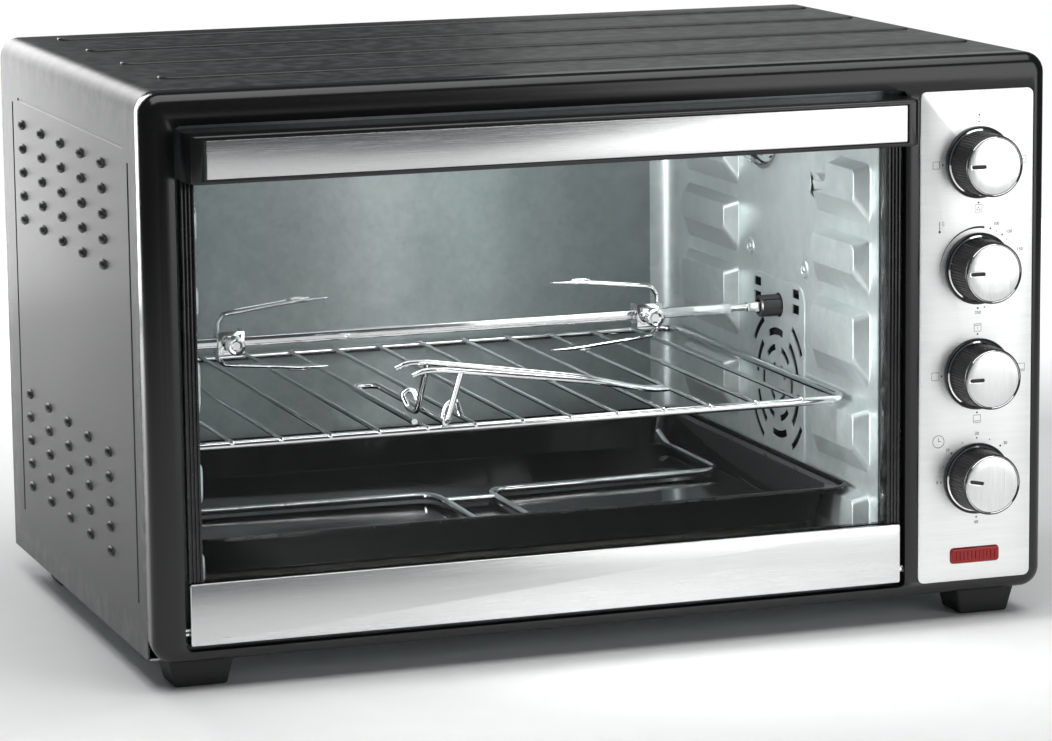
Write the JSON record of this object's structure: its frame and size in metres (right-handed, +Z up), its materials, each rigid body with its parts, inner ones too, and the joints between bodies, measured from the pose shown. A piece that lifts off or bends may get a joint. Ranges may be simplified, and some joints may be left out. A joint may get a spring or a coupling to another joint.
{
  "type": "rotisserie oven",
  "caption": "Counter-top rotisserie oven with a drop-down glass door, a motor-driven spit with forks, a wire rack, an enamelled tray and rotary controls on the right.",
  "frame": {"origin": "middle of the bounding box on the plane of the feet's bottoms", "axes": "+Z up, +X to the right seen from the front, +Y towards the back"},
  "size_m": [0.54, 0.398, 0.334],
  "materials": {
    "black_housing": "satin black paint on pressed sheet",
    "black_frame": "semi-gloss black moulding",
    "black_handle": "semi-gloss black moulding",
    "knob_black": "semi-gloss black, finely ribbed",
    "foot_black": "matt black",
    "gland_rubber": "matt black rubber",
    "brushed_trim": "horizontal brushed grain, satin",
    "control_steel": "brushed grain, satin",
    "knob_cap_metal": "brushed disc",
    "galvanised_sheet": "grey galvanised sheet with a cool tint",
    "chromed_wire": "bright plated wire",
    "black_enamel": "glossy black enamel",
    "door_pane": "clear tempered pane",
    "lamp_glass": "clear pressed glass",
    "red_lens": "translucent red",
    "heater_tube": "heat-darkened steel tube",
    "motor_case": "plated motor case",
    "switch_case": "grey moulded case",
    "lamp_ceramic": "white ceramic"
  },
  "bodies": {
    "oven_body": {"front_frame": "black_frame", "housing_shell": "black_housing", "back_panel": "black_housing", "base_plate": "galvanised_sheet", "foot_front_left": "foot_black", "foot_front_right": "foot_black", "foot_rear_left": "foot_black", "foot_rear_right": "foot_black", "cord_gland": "gland_rubber", "cavity_flange": "galvanised_sheet", "cavity_liner": "galvanised_sheet", "cavity_wall_left": "galvanised_sheet", "cavity_wall_right": "galvanised_sheet", "heater_upper_front": "heater_tube", "heater_upper_rear": "heater_tube", "heater_lower_front": "heater_tube", "heater_lower_rear": "heater_tube", "lamp_cover": "lamp_glass", "lamp_bulb": "lamp_glass", "lamp_holder": "lamp_ceramic", "fan_motor": "motor_case", "spit_motor": "motor_case", "spit_bracket": "galvanised_sheet", "hinge_pin_left": "chromed_wire", "hinge_pin_right": "chromed_wire", "control_plate": "control_steel", "indicator_lens": "red_lens", "function_switch": "switch_case", "thermostat": "switch_case", "heater_switch": "switch_case", "timer": "switch_case"},
    "door": {"door_bottom_rail": "black_handle", "door_bottom_trim": "brushed_trim", "door_stile_left": "black_handle", "door_stile_right": "black_handle", "door_handle": "black_handle", "door_handle_trim": "brushed_trim", "door_glass": "door_pane", "door_arm_left": "galvanised_sheet", "door_arm_right": "galvanised_sheet"},
    "rack": {"wire_rack": "chromed_wire", "rack_tongs": "chromed_wire"},
    "tray": {"baking_tray": "black_enamel", "spit_lifter": "chromed_wire"},
    "spit": {"spit_rod": "chromed_wire", "spit_socket": "chromed_wire"},
    "fork_left_body": {"fork_left": "chromed_wire"},
    "fork_right_body": {"fork_right": "chromed_wire"},
    "screw_left": {"thumb_screw_left": "chromed_wire"},
    "screw_right": {"thumb_screw_right": "chromed_wire"},
    "fan": {"fan_rotor": "galvanised_sheet"},
    "knob_function_body": {"knob_function": "knob_black", "knob_cap_function": "knob_cap_metal"},
    "knob_temperature_body": {"knob_temperature": "knob_black", "knob_cap_temperature": "knob_cap_metal"},
    "knob_heater_body": {"knob_heater": "knob_black", "knob_cap_heater": "knob_cap_metal"},
    "knob_timer_body": {"knob_timer": "knob_black", "knob_cap_timer": "knob_cap_metal"}
  },
  "joints": [
    {"name": "door_hinge", "type": "hinge", "parent": "oven_body", "child": "door", "pos_m": [-0.03575, -0.168, 0.034], "axis": [1, 0, 0], "range_deg": [0, 90]},
    {"name": "rack_slide", "type": "slide", "parent": "oven_body", "child": "rack", "axis": [0, -1, 0], "range_m": [0, 0.205]},
    {"name": "tray_slide", "type": "slide", "parent": "oven_body", "child": "tray", "axis": [0, -1, 0], "range_m": [0, 0.087]},
    {"name": "spit_spin", "type": "hinge", "parent": "oven_body", "child": "spit", "pos_m": [-0.03575, -0.007, 0.1675], "axis": [1, 0, 0], "continuous": true},
    {"name": "fork_left_slide", "type": "slide", "parent": "spit", "child": "fork_left_body", "axis": [1, 0, 0], "range_m": [-0.025, 0.04]},
    {"name": "fork_right_slide", "type": "slide", "parent": "spit", "child": "fork_right_body", "axis": [1, 0, 0], "range_m": [-0.04, 0.025]},
    {"name": "screw_left_turn", "type": "hinge", "parent": "fork_left_body", "child": "screw_left", "pos_m": [-0.1785, -0.013, 0.1675], "axis": [0, 1, 0], "range_deg": [-360, 0]},
    {"name": "screw_right_turn", "type": "hinge", "parent": "fork_right_body", "child": "screw_right", "pos_m": [0.0825, -0.013, 0.1675], "axis": [0, 1, 0], "range_deg": [-360, 0]},
    {"name": "fan_spin", "type": "hinge", "parent": "oven_body", "child": "fan", "pos_m": [0.18, -0.006, 0.1188], "axis": [1, 0, 0], "continuous": true},
    {"name": "knob_function_turn", "type": "hinge", "parent": "oven_body", "child": "knob_function_body", "pos_m": [0.22645, -0.1949, 0.2719], "axis": [0, 1, 0], "range_deg": [0, 270]},
    {"name": "knob_temperature_turn", "type": "hinge", "parent": "oven_body", "child": "knob_temperature_body", "pos_m": [0.22645, -0.1949, 0.2098], "axis": [0, 1, 0], "range_deg": [0, 270]},
    {"name": "knob_heater_turn", "type": "hinge", "parent": "oven_body", "child": "knob_heater_body", "pos_m": [0.22645, -0.1949, 0.1477], "axis": [0, 1, 0], "range_deg": [0, 270]},
    {"name": "knob_timer_turn", "type": "hinge", "parent": "oven_body", "child": "knob_timer_body", "pos_m": [0.22645, -0.1949, 0.0856], "axis": [0, 1, 0], "range_deg": [0, 290]}
  ],
  "couplings": [
    {"joint": "rack_slide", "follows": "door_hinge", "m_per_rad": 0.13},
    {"joint": "tray_slide", "follows": "door_hinge", "m_per_rad": 0.055}
  ]
}
